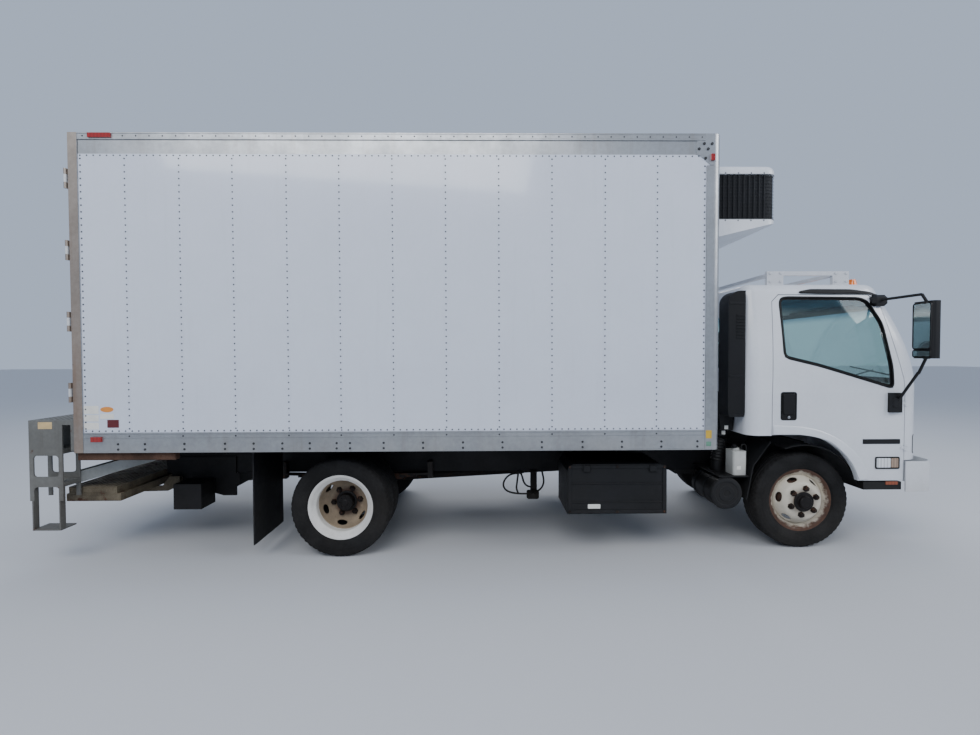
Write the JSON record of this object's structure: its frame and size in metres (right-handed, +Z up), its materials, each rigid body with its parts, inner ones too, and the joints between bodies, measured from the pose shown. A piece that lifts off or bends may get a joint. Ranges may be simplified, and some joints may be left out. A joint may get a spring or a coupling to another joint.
{
  "type": "refrigerated truck",
  "caption": "Low-cab-forward box truck with an insulated body, a cooling unit on its nose, rear swing doors and a stowed tuck-under liftgate.",
  "frame": {"origin": "on the ground under the middle of the bounding box", "axes": "+X forward, +Y to the left of the truck, +Z up"},
  "size_m": [7.2498, 2.684, 3.317],
  "materials": {
    "cab_paint": "gloss white",
    "panel_white": "high gloss white",
    "rail_alloy": "weathered mill finish",
    "door_white": "gloss white",
    "frame_steel": "dull black with dirt and rust",
    "axle_iron": "dirty rusted iron",
    "spring_steel": "rusted spring steel",
    "engine_iron": "oily cast iron",
    "lift_grey": "worn grey enamel",
    "lift_worn": "worn enamel with rust and dirt",
    "wheel_cream": "cream enamel with rust",
    "tyre_rubber": "dusty black",
    "trim_black": "dusty black",
    "flap_rubber": "dusty black",
    "tank_white": "translucent white",
    "tank_steel": "satin black",
    "box_black": "satin black",
    "muffler_steel": "heat-tinted steel",
    "bumper_white": "gloss white",
    "unit_white": "gloss white",
    "unit_mesh": "dark mesh",
    "cab_glazing": "blue-green tint",
    "lamp_clear": "clear lens",
    "lamp_red": "red lens",
    "lamp_amber": "amber lens",
    "seat_cloth": "grey cloth",
    "dash_grey": "dark grey",
    "rack_white": "gloss white",
    "mirror_black": "black"
  },
  "bodies": {
    "chassis": {"frame_rail_left": "frame_steel", "frame_rail_right": "frame_steel", "frame_crossmembers": "frame_steel", "engine_block": "engine_iron", "drive_shaft": "axle_iron", "fuel_tank": "tank_steel", "battery_box": "box_black", "air_cleaner": "trim_black", "coolant_tank": "tank_white", "exhaust_muffler": "muffler_steel", "front_axle_beam": "axle_iron", "rear_axle_housing": "axle_iron", "leaf_springs": "spring_steel", "front_bumper": "bumper_white", "mudguards": "flap_rubber", "cargo_floor": "frame_steel", "cargo_side_left": "panel_white", "cargo_side_right": "panel_white", "cargo_front_wall": "panel_white", "cargo_roof": "rail_alloy", "body_frame_left": "rail_alloy", "body_frame_right": "rail_alloy", "rear_frame": "rail_alloy", "marker_lamps": "lamp_red", "reefer_housing": "unit_white", "reefer_grille": "unit_mesh", "bed_extension": "lift_grey", "liftgate_frame": "lift_grey"},
    "knuckle_right": {"knuckle_right": "axle_iron"},
    "knuckle_left": {"knuckle_left": "axle_iron"},
    "front_wheel_right": {"front_rim_right": "wheel_cream", "front_tyre_right": "tyre_rubber"},
    "front_wheel_left": {"front_rim_left": "wheel_cream", "front_tyre_left": "tyre_rubber"},
    "rear_wheels_right": {"rear_rims_right": "wheel_cream", "rear_tyres_right": "tyre_rubber"},
    "rear_wheels_left": {"rear_rims_left": "wheel_cream", "rear_tyres_left": "tyre_rubber"},
    "cab": {"cab_shell": "cab_paint", "cab_glass": "cab_glazing", "cab_seats": "seat_cloth", "dashboard": "dash_grey", "roof_rack": "rack_white", "roof_lamps": "lamp_amber", "headlamps": "lamp_clear", "intake_snorkel": "trim_black", "wheel_liners": "trim_black"},
    "cab_door_right": {"cab_door_right": "cab_paint", "door_glass_right": "cab_glazing", "mirror_right": "mirror_black"},
    "cab_door_left": {"cab_door_left": "cab_paint", "door_glass_left": "cab_glazing", "mirror_left": "mirror_black"},
    "cargo_door_right": {"cargo_door_right": "door_white"},
    "cargo_door_left": {"cargo_door_left": "door_white"},
    "liftgate": {"liftgate_arms": "lift_worn", "liftgate_platform": "lift_worn"},
    "lift_cylinder": {"liftgate_cylinder": "lift_grey"},
    "lift_rod": {"liftgate_rod": "muffler_steel"}
  },
  "joints": [
    {"name": "steer_right", "type": "hinge", "parent": "chassis", "child": "knuckle_right", "pos_m": [2.525, -0.74, 0.4], "axis": [0, 0, 1], "range_deg": [-35, 35]},
    {"name": "steer_left", "type": "hinge", "parent": "chassis", "child": "knuckle_left", "pos_m": [2.525, 0.74, 0.4], "axis": [0, 0, 1], "range_deg": [-35, 35]},
    {"name": "front_wheel_right_spin", "type": "hinge", "parent": "knuckle_right", "child": "front_wheel_right", "pos_m": [2.525, -0.8325, 0.4], "axis": [0, 1, 0], "continuous": true},
    {"name": "front_wheel_left_spin", "type": "hinge", "parent": "knuckle_left", "child": "front_wheel_left", "pos_m": [2.525, 0.8325, 0.4], "axis": [0, 1, 0], "continuous": true},
    {"name": "rear_wheels_right_spin", "type": "hinge", "parent": "chassis", "child": "rear_wheels_right", "pos_m": [-1.29, -0.825, 0.4], "axis": [0, 1, 0], "continuous": true},
    {"name": "rear_wheels_left_spin", "type": "hinge", "parent": "chassis", "child": "rear_wheels_left", "pos_m": [-1.29, 0.825, 0.4], "axis": [0, 1, 0], "continuous": true},
    {"name": "cab_tilt", "type": "hinge", "parent": "chassis", "child": "cab", "pos_m": [3.405, 0, 0.74], "axis": [0, 1, 0], "range_deg": [0, 45]},
    {"name": "cab_door_right_swing", "type": "hinge", "parent": "cab", "child": "cab_door_right", "pos_m": [3.31, -1.034, 1.3], "axis": [0, 0, 1], "range_deg": [0, 70]},
    {"name": "cab_door_left_swing", "type": "hinge", "parent": "cab", "child": "cab_door_left", "pos_m": [3.31, 1.034, 1.3], "axis": [0, 0, -1], "range_deg": [0, 70]},
    {"name": "cargo_door_right_swing", "type": "hinge", "parent": "chassis", "child": "cargo_door_right", "pos_m": [-3.281, -1.225, 2.16], "axis": [0, 0, 1], "range_deg": [0, 255]},
    {"name": "cargo_door_left_swing", "type": "hinge", "parent": "chassis", "child": "cargo_door_left", "pos_m": [-3.281, 1.225, 2.16], "axis": [0, 0, -1], "range_deg": [0, 255]},
    {"name": "liftgate_lower", "type": "hinge", "parent": "chassis", "child": "liftgate", "pos_m": [-2.925, 0, 0.5], "axis": [0, -1, 0], "range_deg": [0, 38]},
    {"name": "lift_cylinder_pivot", "type": "hinge", "parent": "chassis", "child": "lift_cylinder", "pos_m": [-2.475, 0, 0.4], "axis": [0, -1, 0], "range_deg": [0, 6]},
    {"name": "lift_rod_slide", "type": "slide", "parent": "lift_cylinder", "child": "lift_rod", "axis": [0.9999, 0, 0.0109], "range_m": [0, 0.085]}
  ],
  "couplings": [
    {"joint": "steer_left", "follows": "steer_right", "ratio": 1},
    {"joint": "lift_cylinder_pivot", "follows": "liftgate_lower", "ratio": 0.1509},
    {"joint": "lift_rod_slide", "follows": "liftgate_lower", "m_per_rad": 0.12472}
  ]
}
